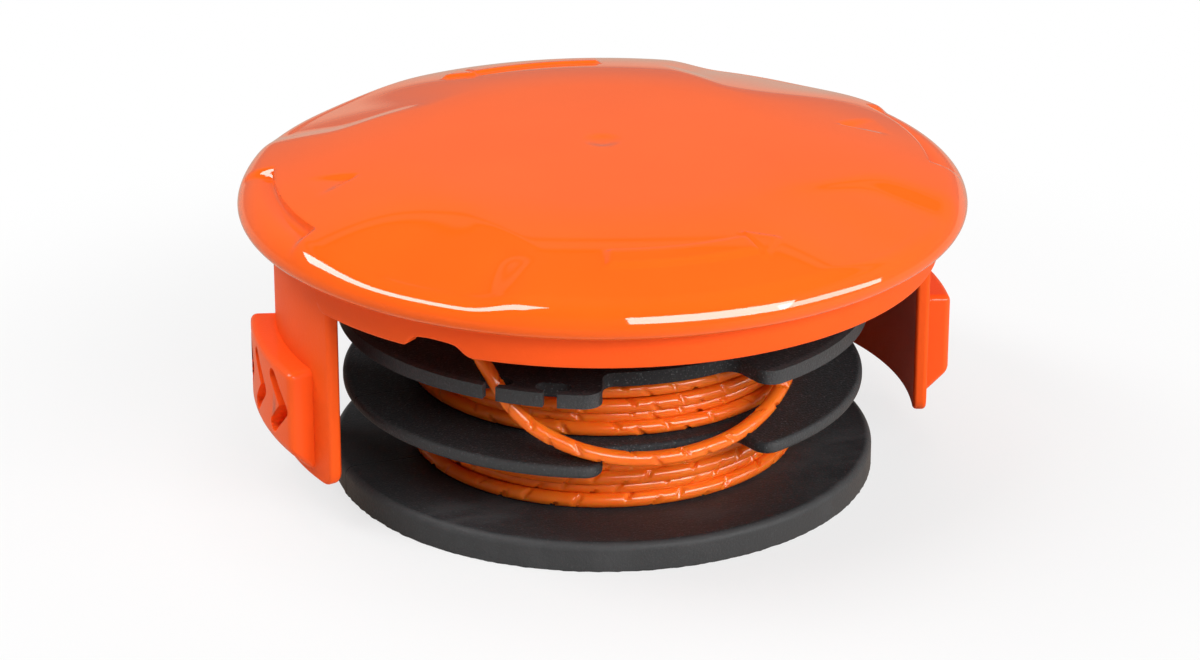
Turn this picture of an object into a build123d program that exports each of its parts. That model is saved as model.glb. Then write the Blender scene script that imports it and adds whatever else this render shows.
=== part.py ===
from build123d import *
import os
from math import asin, atan2, cos, hypot, radians, sin, sqrt, tan

os.makedirs("parts", exist_ok=True)

# A wound line spool with its clip-on cap resting on the hub. Millimetres and degrees.
# The origin is the middle of the base's underside, +Z is up, and the cap's arms stand on X.

# Spool flanges, from the ground up
base_radius = 32.0
base_height = 3.5
base_edge_round = 0.9
recess_depth = 1.8
recess_rim_wall = 1.6
mid_flange_radius = 30.7
mid_flange_thickness = 1.5
mid_flange_edge_round = 0.6
top_flange_radius = 31.2
top_flange_thickness = 1.7
top_flange_edge_round = 0.3
bay_height = 7.3

# Spool hub
hub_radius = 10.5
bore_radius = 8.0
collar_height = 9.7
foot_radius = 12.5

# Drive teeth in the recess under the base
tooth_count = 8
tooth_inner_radius = 15.0
tooth_length = 5.0
tooth_width = 4.5
tooth_height = 1.3

# Window cut through both upper flanges, front and back
window_angle = -89.0
window_half_angle = 18.2
mid_window_depth = 5.9
top_window_depth = 6.4
window_inner_round = 1.6
window_outer_round = 2.0

# Keyhole slots that park the line, in the top flange
keyhole_angles = (-131.1, -118.0)
keyhole_inset = 2.0
keyhole_length = 4.0
keyhole_width = 2.1
keyhole_throat = 1.55

# Nylon line
line_diameter = 1.7
turns_per_layer = 4
winding_radius = 23.0
winding_groove = 0.5
winding_hub_clearance = 0.2
tail_bend_share = 0.45

# Cap shell, from the rolled rim inwards and from the dome down
cap_radius = 42.3
cap_wall = 2.0
crown_radius = 20.0
crown_sag = 0.22
dome_edge_inset = 2.7
dome_sag = 3.4
rim_top_depth = 2.8
rim_low_depth = 1.6
rim_foot_inset = 1.3
skirt_inset = 3.1
skirt_height = 4.3
skirt_cove = 1.2
boss_radius = 13.0
boss_wall = 4.6
boss_height = 7.0

# Cap arms and their latch tabs
arm_inset = 0.8
arm_thickness = 1.6
arm_half_angle = 19.6
arm_reach = 21.9
arm_corner_round = 2.0
arm_edge_round = 0.5
arm_gap_half_angle = 18.3
skirt_end_round = 1.2
tab_proud = 2.9
tab_half_angle = 14.0
tab_height = 12.3
tab_above_tip = 1.2
tab_lead_in = 2.5
tab_edge_round = 0.9
chevron_count = 3
chevron_pitch = 6.3
chevron_limb = 4.2
chevron_slope = 45.0
chevron_width = 1.5
chevron_depth = 2.3

# Shallow forms pressed into the cap's top and skirt
scoop_angles = (42.5, 132.5, 222.5, 312.5)
scoop_ball_radius = 45.0
scoop_length = 17.3
scoop_deep_inset = 4.3
scoop_depth = 1.3
rebate_inset = 4.3
rebate_depth = 1.2
rebate_floor_width = 1.4
rebate_half_angle = 14.6
rebate_flare = 2.4
rebate_corner_round = 1.2
rebate_floor_round = 0.5
rebate_run_out = 0.5
dent_inset = 8.0
dent_length = 5.3
dent_half_width = 3.3
dent_depth = 0.8
dent_run_out = 0.1
dimple_ball_radius = 4.0
dimple_depth = 0.4
scallop_angles = (44.0, 224.0)
scallop_width = 9.3
scallop_height = 1.4

# Levels and radii that follow from the sizes above
mid_flange_z = base_height + bay_height
upper_bay_z = mid_flange_z + mid_flange_thickness
top_flange_z = upper_bay_z + bay_height
top_flange_top = top_flange_z + top_flange_thickness
seat_z = top_flange_top + collar_height
apex_z = seat_z + boss_height + cap_wall
dome_edge_z = apex_z - dome_sag
rim_z = dome_edge_z - rim_top_depth
rim_foot_z = rim_z - rim_low_depth
skirt_bottom_z = rim_foot_z - skirt_height
arm_bottom_z = skirt_bottom_z - arm_reach
tab_bottom_z = arm_bottom_z + tab_above_tip
tab_top_z = tab_bottom_z + tab_height
keyhole_radius = top_flange_radius - keyhole_inset
dome_edge_radius = cap_radius - dome_edge_inset
skirt_radius = cap_radius - skirt_inset
skirt_inner = skirt_radius - cap_wall
arm_radius = skirt_radius - arm_inset
arm_inner = arm_radius - arm_thickness
tab_radius = arm_radius + tab_proud
window_angles = (window_angle, window_angle + 180)

# How far cuts run past what they cut, and the tolerance of a selection
cut_margin = 2.0
near = 0.01


def polar(radius, angle, z=0.0):
    """Point at a radius and an angle round the spool's axis."""
    return (radius * cos(radians(angle)), radius * sin(radians(angle)), z)


def sector(inner_radius, outer_radius, mid_angle, half_angle):
    """Ring sector between two radii and two angles, as a flat sketch to add."""
    start = mid_angle - half_angle
    end = mid_angle + half_angle
    with BuildSketch(mode=Mode.PRIVATE) as area:
        with BuildLine():
            outer = ThreePointArc(
                polar(outer_radius, start), polar(outer_radius, mid_angle), polar(outer_radius, end)
            )
            inner = ThreePointArc(
                polar(inner_radius, end), polar(inner_radius, mid_angle), polar(inner_radius, start)
            )
            Line(outer @ 1, inner @ 0)
            Line(inner @ 1, outer @ 0)
        make_face()
    return area.sketch


def at_radius(vertex, radius):
    """True where a vertex lies on a circle about the axis."""
    return abs(hypot(vertex.X, vertex.Y) - radius) < near


def radial_plane(radius, angle, z):
    """Upright plane that faces outwards, with its own X running anticlockwise and its Y up."""
    outward = polar(1.0, angle)
    return Plane(origin=polar(radius, angle, z), x_dir=(-outward[1], outward[0], 0), z_dir=outward)


def flange_face(rim_radius, window_depth):
    """Ring flange round the hub with its two windows, their corners rounded, as a flat sketch to add."""
    floor_radius = rim_radius - window_depth
    with BuildSketch(mode=Mode.PRIVATE) as face:
        Circle(rim_radius)
        Circle(hub_radius, mode=Mode.SUBTRACT)
        for angle in window_angles:
            opening = sector(floor_radius, rim_radius + cut_margin, angle, window_half_angle)
            add(opening, mode=Mode.SUBTRACT)
        inner_corners = face.vertices().filter_by(lambda v: at_radius(v, floor_radius))
        fillet(inner_corners, radius=window_inner_round)
        outer_corners = face.vertices().filter_by(
            lambda v: at_radius(v, rim_radius) and abs(v.Y) > floor_radius / 2
        )
        fillet(outer_corners, radius=window_outer_round)
    return face.sketch


# The spool is one moulding, made here as its hub, base and two flanges, which meet face to face

# Hub: a plain tube, whose top is the collar that the cap rests on
with BuildPart() as hub:
    with BuildSketch():
        Circle(hub_radius)
        Circle(bore_radius, mode=Mode.SUBTRACT)
    extrude(amount=seat_z)
hub.part.label = "spool_hub"
export_step(hub.part, "parts/spool_hub.step")

# Base: a thick turned flange with a recess and drive teeth underneath
with BuildPart() as base:
    with BuildSketch(Plane.XZ):
        with BuildLine():
            Polyline(
                (hub_radius, 0),
                (foot_radius, 0),
                (foot_radius, recess_depth),
                (base_radius - recess_rim_wall, recess_depth),
                (base_radius - recess_rim_wall, 0),
                (base_radius, 0),
                (base_radius, base_height),
                (hub_radius, base_height),
                close=True,
            )
        make_face()
    revolve(axis=Axis.Z)
    base_rim_edges = base.edges().filter_by(GeomType.CIRCLE).filter_by(
        lambda edge: edge.radius > base_radius - near
    )
    fillet(base_rim_edges.sort_by(Axis.Z)[-1], radius=base_edge_round)
    for tooth in range(tooth_count):
        plane = radial_plane(tooth_inner_radius, 360 * tooth / tooth_count, recess_depth)
        with BuildSketch(plane):
            with BuildLine():
                Polyline((0, 0), (tooth_width, 0), (0, -tooth_height), close=True)
            make_face()
        extrude(amount=tooth_length)
base.part.label = "spool_base"
export_step(base.part, "parts/spool_base.step")

# Middle flange: a plate with rounded edges and two windows
with BuildPart() as mid_flange:
    with BuildSketch(Plane.XY.offset(mid_flange_z)):
        add(flange_face(mid_flange_radius, mid_window_depth))
    extrude(amount=mid_flange_thickness)
    mid_edges = mid_flange.edges().filter_by(
        lambda edge: min(abs(edge.center().Z - mid_flange_z), abs(edge.center().Z - upper_bay_z)) < near
        and hypot(edge.position_at(0).X, edge.position_at(0).Y) > hub_radius + near
    )
    fillet(mid_edges, radius=mid_flange_edge_round)
mid_flange.part.label = "spool_mid_flange"
export_step(mid_flange.part, "parts/spool_mid_flange.step")

# Top flange: the same windows, and keyhole slots beside them that open through the rim
with BuildPart() as top_flange:
    with BuildSketch(Plane.XY.offset(top_flange_z)):
        add(flange_face(top_flange_radius, top_window_depth))
        for keyhole_angle in keyhole_angles:
            for angle in (keyhole_angle, keyhole_angle + 180):
                with Locations(Location(polar(keyhole_radius, angle), (0, 0, angle + 90))):
                    SlotOverall(keyhole_length, keyhole_width, mode=Mode.SUBTRACT)
                    with Locations((0, -keyhole_inset)):
                        Rectangle(keyhole_throat, 2 * keyhole_inset, mode=Mode.SUBTRACT)
    extrude(amount=top_flange_thickness)
    top_rim_edges = top_flange.edges().filter_by(GeomType.CIRCLE).filter_by(
        lambda edge: abs(edge.center().Z - top_flange_top) < near and edge.radius > top_flange_radius - near
    )
    fillet(top_rim_edges, radius=top_flange_edge_round)
top_flange.part.label = "spool_top_flange"
export_step(top_flange.part, "parts/spool_top_flange.step")

# Windings: each bay holds one roll of line, whose outer turns show as rounds
for winding_name, bay_floor in (("lower_winding", base_height), ("upper_winding", upper_bay_z)):
    with BuildPart() as winding:
        groove_radius = winding_radius - winding_groove
        inner_radius = hub_radius + winding_hub_clearance
        roll_height = turns_per_layer * line_diameter
        with BuildSketch(Plane.XZ):
            with BuildLine():
                for turn in range(turns_per_layer):
                    low = bay_floor + turn * line_diameter
                    ThreePointArc(
                        (groove_radius, low),
                        (winding_radius, low + line_diameter / 2),
                        (groove_radius, low + line_diameter),
                    )
                Polyline(
                    (groove_radius, bay_floor + roll_height),
                    (inner_radius, bay_floor + roll_height),
                    (inner_radius, bay_floor),
                    (groove_radius, bay_floor),
                )
            make_face()
        revolve(axis=Axis.Z)
    winding.part.label = winding_name
    export_step(winding.part, f"parts/{winding_name}.step")

# Line tail: the free stretch, from the upper roll round the front, up through a keyhole and under the cap
tail_route = [
    polar(24.0, -36, 16.0),
    polar(24.3, -45, 15.5),
    polar(25.3, -54, 14.9),
    polar(26.9, -64, 14.2),
    polar(28.4, -75, 13.3),
    polar(29.3, -87, 12.7),
    polar(29.6, -98.5, 12.6),
    polar(29.6, -109, 13.4),
    polar(29.5, -117.5, 14.9),
    polar(29.4, -124, 16.7),
    polar(29.3, -128.3, 18.8),
    polar(29.2, -131.6, 21.2),
    polar(28.8, -135.5, 23.5),
    polar(28.0, -141.2, 25.3),
    polar(27.0, -149.5, 26.2),
    polar(26.0, -159, 26.2),
    polar(25.2, -170, 25.3),
    polar(24.7, -182, 23.9),
    polar(24.4, -194, 22.7),
    polar(24.1, -206, 22.2),
    polar(23.6, -218, 22.2),
    polar(22.9, -231, 22.2),
    polar(22.0, -244, 22.2),
    polar(21.3, -258, 22.2),
    polar(21.0, -272, 22.2),
    polar(21.2, -286, 22.2),
    polar(21.8, -299, 22.2),
    polar(22.7, -311, 22.2),
]
tail_radii = []
for before, corner, after in zip(tail_route, tail_route[1:], tail_route[2:]):
    run_in = Vector(*corner) - Vector(*before)
    run_out = Vector(*after) - Vector(*corner)
    turn = run_in.get_angle(run_out)
    shorter_run = min(run_in.length, run_out.length)
    tail_radii.append(tail_bend_share * shorter_run / tan(radians(turn / 2)))

with BuildPart() as line_tail:
    with BuildLine() as tail_path:
        FilletPolyline(*tail_route, radius=tail_radii)
    with BuildSketch(Plane(origin=tail_path.line @ 0, z_dir=tail_path.line % 0)):
        Circle(line_diameter / 2)
    sweep()
line_tail.part.label = "line_tail"
export_step(line_tail.part, "parts/line_tail.step")
print("tail bend radii", [round(radius, 1) for radius in tail_radii])
print("tail length", round(tail_path.wire().length, 1))

# Cap: domed shell with a rolled rim, a skirt, two arms with latch tabs, and a boss that sits on the hub
crown_edge_z = apex_z - crown_sag
crown_bend = (crown_radius**2 + crown_sag**2) / (2 * crown_sag)
crown_slope = asin(crown_radius / crown_bend)
shoulder_run = dome_edge_radius - crown_radius
shoulder_fall = crown_edge_z - dome_edge_z
shoulder_turn = atan2(shoulder_fall, shoulder_run) - crown_slope
shoulder_bend = hypot(shoulder_run, shoulder_fall) / (2 * sin(shoulder_turn))
shoulder_centre_r = (crown_bend - shoulder_bend) * sin(crown_slope)
shoulder_centre_z = apex_z - crown_bend + (crown_bend - shoulder_bend) * cos(crown_slope)
rim_slope = crown_slope + 2 * shoulder_turn
rim_turn = atan2(rim_top_depth, dome_edge_inset) - rim_slope
rim_bend = hypot(dome_edge_inset, rim_top_depth) / (2 * sin(rim_turn))
rim_centre_r = dome_edge_radius - rim_bend * sin(rim_slope)
rim_centre_z = dome_edge_z - rim_bend * cos(rim_slope)


def dome_z(radius):
    """Height of the dome's outside at a radius: a nearly flat crown, then a rounder shoulder."""
    if radius <= crown_radius:
        return apex_z - crown_bend + sqrt(crown_bend**2 - radius**2)
    return shoulder_centre_z + sqrt(shoulder_bend**2 - (radius - shoulder_centre_r) ** 2)


def under_dome(radius):
    """Point of the dome's underside at a radius, in the turned outline."""
    return (radius, dome_z(radius) - cap_wall)


# One latch arm, with its tab and chevron grips, modelled on +X and then set on both sides of the cap
arm_top_z = dome_z(skirt_radius) - cap_wall


def on_arm_face(edge):
    """True for an edge that bounds the arm's inside or outside face, its top edge apart."""
    ends = (edge.position_at(0), edge.position_at(1))
    inside = all(at_radius(end, arm_inner) for end in ends)
    outside = all(at_radius(end, arm_radius) for end in ends)
    return (inside or outside) and edge.center().Z < arm_top_z - near


with BuildPart() as arm:
    with BuildSketch(Plane.XY.offset(arm_bottom_z)):
        add(sector(arm_inner, arm_radius, 0, arm_half_angle))
    extrude(amount=arm_top_z - arm_bottom_z)
    fillet(arm.edges().filter_by(GeomType.LINE).group_by(Axis.Z)[0], radius=arm_corner_round)
    fillet(arm.edges().filter_by(on_arm_face), radius=arm_edge_round)
    with BuildSketch(Plane.XY.offset(tab_bottom_z)):
        add(sector(arm_radius - arm_thickness / 2, tab_radius, 0, tab_half_angle))
    extrude(amount=tab_height)
    lead_in_edge = arm.edges().filter_by(GeomType.CIRCLE).filter_by(
        lambda edge: abs(edge.center().Z - tab_bottom_z) < near and edge.radius > tab_radius - near
    )
    chamfer(lead_in_edge, length=tab_lead_in)
    tab_corners = arm.edges().filter_by(
        lambda edge: at_radius(edge.position_at(0), tab_radius)
        and at_radius(edge.position_at(1), tab_radius)
        and edge.center().Z > tab_bottom_z + tab_lead_in + near
    )
    fillet(tab_corners, radius=tab_edge_round)
    chevron_z = (tab_bottom_z + tab_lead_in + tab_top_z) / 2
    with BuildSketch(radial_plane(tab_radius, 0, chevron_z)):
        with GridLocations(chevron_pitch, 0, chevron_count, 1):
            for way in (1, -1):
                with Locations((0, way * chevron_limb / 2 * sin(radians(chevron_slope)))):
                    SlotCenterToCenter(chevron_limb, chevron_width, rotation=-way * chevron_slope)
    extrude(amount=-chevron_depth, mode=Mode.SUBTRACT)

# Cutter for one thumb rebate on +X: the rim's own roll set lower, behind an upright wall with rounded ends
rebate_inner = cap_radius - rebate_inset
rebate_floor_z = dome_z(rebate_inner) - rebate_depth
rebate_end_z = rim_z + rebate_run_out
rebate_end_radius = rim_centre_r + sqrt(rim_bend**2 - (rebate_end_z - rim_centre_z) ** 2)
rebate_side_angle = rebate_half_angle + 2 * rebate_flare
with BuildPart() as rebate:
    with BuildSketch(Plane.XZ.rotated((0, 0, -rebate_side_angle))) as rebate_profile:
        with BuildLine():
            rebate_wall = Line((rebate_inner, apex_z), (rebate_inner, rebate_floor_z))
            rebate_floor = Line(rebate_wall @ 1, (rebate_inner + rebate_floor_width, rebate_floor_z))
            rebate_end = (rebate_end_radius, rebate_end_z)
            rebate_roll = TangentArc(rebate_floor @ 1, rebate_end, tangent=rebate_floor % 1)
            Polyline(
                rebate_roll @ 1,
                (cap_radius + cut_margin, rebate_end_z),
                (cap_radius + cut_margin, apex_z),
                rebate_wall @ 0,
            )
        make_face()
        floor_corner = rebate_profile.vertices().group_by(Axis.X)[0].sort_by(Axis.Y)[0]
        fillet(floor_corner, radius=rebate_floor_round)
    revolve(axis=Axis.Z, revolution_arc=2 * rebate_side_angle)
    with BuildSketch(Plane.XY.offset(rim_z)) as rebate_outline:
        with BuildLine():
            rebate_reach = cap_radius + 2 * cut_margin
            rebate_end_angle = rebate_half_angle + rebate_flare
            back = ThreePointArc(
                polar(rebate_inner, rebate_half_angle),
                polar(rebate_inner, 0),
                polar(rebate_inner, -rebate_half_angle),
            )
            front = ThreePointArc(
                polar(rebate_reach, -rebate_end_angle),
                polar(rebate_reach, 0),
                polar(rebate_reach, rebate_end_angle),
            )
            Line(back @ 1, front @ 0)
            Line(front @ 1, back @ 0)
        make_face()
        back_corners = rebate_outline.vertices().filter_by(lambda v: at_radius(v, rebate_inner))
        fillet(back_corners, radius=rebate_corner_round)
    extrude(amount=apex_z - rim_z, mode=Mode.INTERSECT)

# Cutter for one pointing dent on +X: deepest at its point, and running out level with the dome at its base
dent_base_radius = cap_radius - dent_inset
dent_tip_radius = dent_base_radius - dent_length
with BuildPart() as dent:
    with BuildSketch(Plane.XY.offset(dome_edge_z)):
        Polygon(
            (dent_tip_radius, 0),
            (dent_base_radius, -dent_half_width),
            (dent_base_radius, dent_half_width),
            align=None,
        )
    extrude(amount=dome_sag)
    with BuildSketch(Plane.XZ):
        with BuildLine():
            Polyline(
                (dent_tip_radius, dome_z(dent_tip_radius) - dent_depth),
                (dent_base_radius, dome_z(dent_base_radius) + dent_run_out),
                (dent_base_radius, apex_z),
                (dent_tip_radius, apex_z),
                close=True,
            )
        make_face()
    extrude(amount=dent_half_width, both=True, mode=Mode.INTERSECT)

with BuildPart() as cap:
    with BuildSketch(Plane.XZ):
        with BuildLine():
            crown = TangentArc((0, apex_z), (crown_radius, crown_edge_z), tangent=(1, 0))
            shoulder = TangentArc(crown @ 1, (dome_edge_radius, dome_edge_z), tangent=crown % 1)
            rim_top = TangentArc(shoulder @ 1, (cap_radius, rim_z), tangent=shoulder % 1)
            rim_foot = (cap_radius - rim_foot_inset, rim_foot_z)
            rim_low = TangentArc(rim_top @ 1, rim_foot, tangent=rim_top % 1)
            cove_start = (skirt_radius + skirt_cove, rim_foot_z)
            Line(rim_low @ 1, cove_start)
            cove = TangentArc(cove_start, (skirt_radius, rim_foot_z - skirt_cove), tangent=(-1, 0))
            Polyline(
                cove @ 1,
                (skirt_radius, skirt_bottom_z),
                (skirt_inner, skirt_bottom_z),
                under_dome(skirt_inner),
            )
            ThreePointArc(
                under_dome(skirt_inner),
                under_dome((skirt_inner + crown_radius) / 2),
                under_dome(crown_radius),
            )
            ThreePointArc(under_dome(crown_radius), under_dome(crown_radius / 2), under_dome(0))
            Line(under_dome(0), (0, apex_z))
        make_face()
    revolve(axis=Axis.Z)

    with BuildSketch(Plane.XY.offset(seat_z)):
        Circle(boss_radius)
        Circle(boss_radius - boss_wall, mode=Mode.SUBTRACT)
    extrude(amount=boss_height)

    # The skirt stops at each arm, which runs up behind its line to the plate
    for side in (0, 180):
        with BuildSketch(Plane.XY.offset(skirt_bottom_z - cut_margin)):
            add(sector(skirt_inner - cut_margin, skirt_radius + skirt_cove, side, arm_gap_half_angle))
        extrude(amount=rim_foot_z - skirt_bottom_z + cut_margin, mode=Mode.SUBTRACT)
    skirt_end_edges = cap.edges().filter_by(GeomType.LINE).filter_by(
        lambda edge: abs(edge.center().Z - skirt_bottom_z) < near
    )
    fillet(skirt_end_edges, radius=skirt_end_round)
    with PolarLocations(0, 2):
        add(arm.part)

    # Scalloped lower edge of the skirt, on two sides
    scallop_radius = (scallop_width**2 / 4 + scallop_height**2) / (2 * scallop_height)
    for angle in scallop_angles:
        with BuildSketch(radial_plane(skirt_inner - cut_margin, angle, skirt_bottom_z)):
            with Locations((0, scallop_height - scallop_radius)):
                Circle(scallop_radius)
        extrude(amount=cap_wall + 2 * cut_margin, mode=Mode.SUBTRACT)

    # Four finger scoops that run out over the rim
    scoop_start_radius = cap_radius - scoop_length
    scoop_deep_radius = cap_radius - scoop_deep_inset
    scoop_in = Vector(scoop_start_radius, dome_z(scoop_start_radius))
    scoop_out = Vector(scoop_deep_radius, dome_z(scoop_deep_radius) - scoop_depth)
    scoop_chord = scoop_out - scoop_in
    scoop_rise = sqrt(scoop_ball_radius**2 - scoop_chord.length**2 / 4)
    scoop_mid = (scoop_in + scoop_out) * 0.5
    scoop_normal = Vector(-scoop_chord.Y, scoop_chord.X).normalized()
    scoop_centre = scoop_mid + scoop_normal * scoop_rise
    for angle in scoop_angles:
        with Locations(polar(scoop_centre.X, angle, scoop_centre.Y)):
            Sphere(scoop_ball_radius, mode=Mode.SUBTRACT)

    # Thumb rebates and pointing dents above the arms, and the dimple at the middle
    with PolarLocations(0, 2):
        add(rebate.part, mode=Mode.SUBTRACT)
        add(dent.part, mode=Mode.SUBTRACT)
    with Locations((0, 0, apex_z - dimple_depth + dimple_ball_radius)):
        Sphere(dimple_ball_radius, mode=Mode.SUBTRACT)
cap.part.label = "cap"
export_step(cap.part, "parts/cap.step")
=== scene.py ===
# %% [markdown]
# # A wound trimmer spool under its orange cap
# The object is a black moulded spool with two bays of notched nylon line, and the clip-on
# cap of the trimmer head resting on the spool's hub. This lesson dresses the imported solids:
# every cell models one piece or mixes one finish, in metres and in the solids' own frame.

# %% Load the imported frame
import math

import bpy
import numpy as np
from mathutils import Matrix, Vector


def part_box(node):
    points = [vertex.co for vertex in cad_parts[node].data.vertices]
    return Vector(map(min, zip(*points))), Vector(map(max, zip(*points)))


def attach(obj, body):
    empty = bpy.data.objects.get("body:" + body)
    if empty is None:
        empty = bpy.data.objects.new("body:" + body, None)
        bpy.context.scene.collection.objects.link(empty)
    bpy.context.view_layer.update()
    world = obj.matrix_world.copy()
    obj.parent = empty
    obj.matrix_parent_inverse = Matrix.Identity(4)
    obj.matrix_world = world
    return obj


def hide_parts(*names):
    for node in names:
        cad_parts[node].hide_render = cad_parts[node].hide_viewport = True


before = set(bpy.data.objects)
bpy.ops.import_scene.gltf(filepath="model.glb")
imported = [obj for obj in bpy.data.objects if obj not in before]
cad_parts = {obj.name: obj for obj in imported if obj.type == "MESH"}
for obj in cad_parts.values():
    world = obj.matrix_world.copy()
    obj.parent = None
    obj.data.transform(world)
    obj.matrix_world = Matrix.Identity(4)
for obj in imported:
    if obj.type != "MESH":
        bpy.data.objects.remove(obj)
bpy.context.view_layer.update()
MM = 0.001

# %% [markdown]
# ## The camera
# The photograph was taken with a long lens from a little above the cap. A long lens keeps the
# ellipses of the flanges nearly alike, so the distance matters as much as the angle. The view
# turns about a point on the hub's axis, and a small lens shift puts that point where the
# picture has it.

# %% Set up the camera
PICTURE_WIDTH = 1200
PICTURE_HEIGHT = 660
AIM_PIXEL = (602.5, 299.9)
AIM_HEIGHT = 20 * MM
VIEW_TURN = math.radians(-17.2)
VIEW_TILT = math.radians(22.2)
VIEW_DISTANCE = 470.6 * MM

back = Vector((
    math.sin(VIEW_TURN) * math.cos(VIEW_TILT),
    -math.cos(VIEW_TURN) * math.cos(VIEW_TILT),
    math.sin(VIEW_TILT),
))
bpy.ops.object.camera_add(location=Vector((0, 0, AIM_HEIGHT)) + back * VIEW_DISTANCE)
camera = bpy.context.object
camera.rotation_euler = (-back).to_track_quat("-Z", "Y").to_euler()
camera.data.sensor_width = 36
camera.data.lens = 120
camera.data.shift_x = (PICTURE_WIDTH / 2 - AIM_PIXEL[0]) / PICTURE_WIDTH
camera.data.shift_y = (AIM_PIXEL[1] - PICTURE_HEIGHT / 2) / PICTURE_WIDTH
camera.data.clip_start = 0.01
bpy.context.scene.camera = camera
print("camera at", [round(c, 3) for c in camera.location])

# %% [markdown]
# ## Small tools for modelling by hand
# Operators act on whatever is selected, so each step first takes hold of one piece and
# nothing else. A modifier is applied as soon as it is set, and parts of a mesh are picked by
# where they lie.

# %% Tools: take hold of a piece and change the whole of it


def stop_editing():
    """Go back to object mode."""
    bpy.ops.object.mode_set(mode="OBJECT")


def let_go():
    """Leave nothing selected, so that a new primitive stands by itself."""
    if bpy.context.object and bpy.context.object.mode != "OBJECT":
        stop_editing()
    bpy.ops.object.select_all(action="DESELECT")


def take_hold(piece):
    """Make a piece the only selected and active object, in object mode."""
    let_go()
    piece.select_set(True)
    bpy.context.view_layer.objects.active = piece


def apply_modifier(piece, kind, **settings):
    """Add a modifier, set it and apply it."""
    take_hold(piece)
    modifier = piece.modifiers.new(kind.lower(), kind)
    for name, value in settings.items():
        setattr(modifier, name, value)
    bpy.ops.object.modifier_apply(modifier=modifier.name)


def round_edges(piece, width, segments, degrees):
    """Bevel the edges that are sharper than an angle; the width is in mm."""
    apply_modifier(
        piece, "BEVEL", width=width * MM, segments=segments, limit_method="ANGLE",
        angle_limit=math.radians(degrees), use_clamp_overlap=True,
    )


def combine(piece, other, operation):
    """Boolean of two pieces; the second one is used up."""
    apply_modifier(piece, "BOOLEAN", operation=operation, object=other, solver="EXACT")
    bpy.data.objects.remove(other)


def smooth_shade(piece, degrees, weighted=False):
    """Smooth shading that keeps edges sharper than an angle; weighting keeps large flats flat."""
    take_hold(piece)
    bpy.ops.object.shade_smooth_by_angle(angle=math.radians(degrees))
    if weighted:
        apply_modifier(piece, "WEIGHTED_NORMAL", keep_sharp=True, weight=90)


def report(piece):
    """Print what a piece has become."""
    triangles = sum(len(face.vertices) - 2 for face in piece.data.polygons)
    size = [round(side / MM, 1) for side in piece.dimensions]
    print(piece.name, "has", triangles, "triangles and is", size, "mm")


# %% Tools: pick, turn and copy in edit mode


def pick(piece, domain, test):
    """Enter edit mode with the vertices or edges selected that pass a test of their points."""
    take_hold(piece)
    bpy.ops.object.mode_set(mode="EDIT")
    bpy.ops.mesh.select_mode(type=domain)
    bpy.ops.mesh.select_all(action="DESELECT")
    stop_editing()
    vertices = piece.data.vertices
    if domain == "VERT":
        for vertex in vertices:
            vertex.select = test(vertex.co)
    else:
        for edge in piece.data.edges:
            edge.select = test(*(vertices[index].co for index in edge.vertices))
    bpy.ops.object.mode_set(mode="EDIT")


def edit_all(piece):
    """Enter edit mode with everything selected."""
    take_hold(piece)
    bpy.ops.object.mode_set(mode="EDIT")
    bpy.ops.mesh.select_all(action="SELECT")


def face_outwards():
    """Turn every face of the mesh in edit mode outwards, then go back to object mode."""
    bpy.ops.mesh.select_all(action="SELECT")
    bpy.ops.mesh.normals_make_consistent(inside=False)
    stop_editing()


def rotate_about_axis(turn, axis="Z"):
    """Turn what is selected in edit mode about the origin."""
    bpy.ops.transform.rotate(value=-turn, orient_axis=axis, center_override=(0, 0, 0))


def copy_of(piece, turn):
    """A copy with its own mesh, turned about the hub's axis in its vertices."""
    take_hold(piece)
    bpy.ops.object.duplicate()
    copy = bpy.context.object
    if turn:
        edit_all(copy)
        rotate_about_axis(turn)
        stop_editing()
    return copy


# %% Tools: points on circles


def on_circle(radius, degrees):
    """Point of a circle about the origin, at an angle."""
    angle = math.radians(degrees)
    return radius * math.cos(angle), radius * math.sin(angle)


def polar(radius, degrees, z):
    """Point in metres at a radius and height in mm and an angle round the hub's axis."""
    return Vector((*on_circle(radius, degrees), z)) * MM


def arc(centre, radius, start, end, steps):
    """Points of a round stretch, from one angle in degrees to another."""
    points = [on_circle(radius, start + (end - start) * step / steps) for step in range(steps + 1)]
    return [(centre[0] + x, centre[1] + y) for x, y in points]


# %% [markdown]
# ## The free end of the line
# About 13 cm of line is left free for threading the head. It leaves the upper roll, sweeps
# round the front, goes up through a keyhole slot and lies on the top flange under the cap.
# The route is a smooth NURBS curve with given control points, the same ones as the
# solid's. The line itself is a short notched length that is modelled once, repeated and bent
# along the curve.

# %% Read a smooth route back as points
TAIL_ROUTE = [polar(*point) for point in (
    (24.0, -36, 16.0), (24.3, -45, 15.5), (25.3, -54, 14.9), (26.9, -64, 14.2), (28.4, -75, 13.3),
    (29.3, -87, 12.7), (29.6, -98.5, 12.6), (29.6, -109, 13.4), (29.5, -117.5, 14.9), (29.4, -124, 16.7),
    (29.3, -128.3, 18.8), (29.2, -131.6, 21.2), (28.8, -135.5, 23.5), (28.0, -141.2, 25.3),
    (27.0, -149.5, 26.2), (26.0, -159, 26.2), (25.2, -170, 25.3), (24.7, -182, 23.9), (24.4, -194, 22.7),
    (24.1, -206, 22.2), (23.6, -218, 22.2), (22.9, -231, 22.2), (22.0, -244, 22.2), (21.3, -258, 22.2),
    (21.0, -272, 22.2), (21.2, -286, 22.2), (21.8, -299, 22.2), (22.7, -311, 22.2),
)]


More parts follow.
